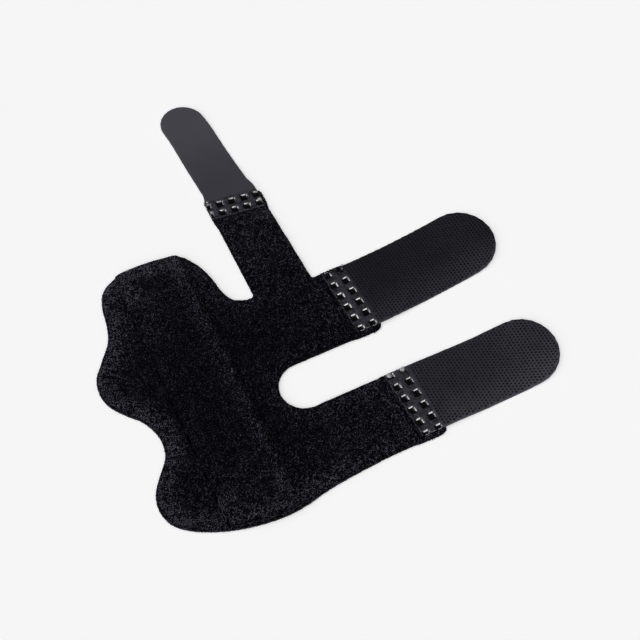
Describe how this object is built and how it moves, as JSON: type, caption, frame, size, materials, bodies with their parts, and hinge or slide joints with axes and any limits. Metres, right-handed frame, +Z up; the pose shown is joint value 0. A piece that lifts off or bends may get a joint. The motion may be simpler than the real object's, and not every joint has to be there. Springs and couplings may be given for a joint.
{
  "type": "finger splint",
  "caption": "Soft finger splint laid out flat: loop-faced foam sheet with a raised stay pocket, a lobed palm flap and strap arms ending in welded hook tabs.",
  "frame": {"origin": "on the underside of the sheet, below the middle of the stay pocket", "axes": "+Y along the stay pocket towards the fingertip, +X towards the two wide strap arms, +Z up out of the surface that it lies on"},
  "size_m": [0.1693, 0.187, 0.0049],
  "materials": {
    "loop_pile": "curly black loop pile on foam",
    "pocket_pile": "curly black loop pile, sewn down along both long edges",
    "smooth_hook": "smooth dark grey moulded hook tape",
    "dotted_hook": "black moulded hook tape with fine rows of hooks, glossy pressed weld marks"
  },
  "bodies": {
    "root": {"wrap_sheet": "loop_pile", "stay_pocket": "pocket_pile", "finger_hook_tab": "smooth_hook", "upper_hook_tab": "dotted_hook", "lower_hook_tab": "dotted_hook"}
  },
  "joints": []
}
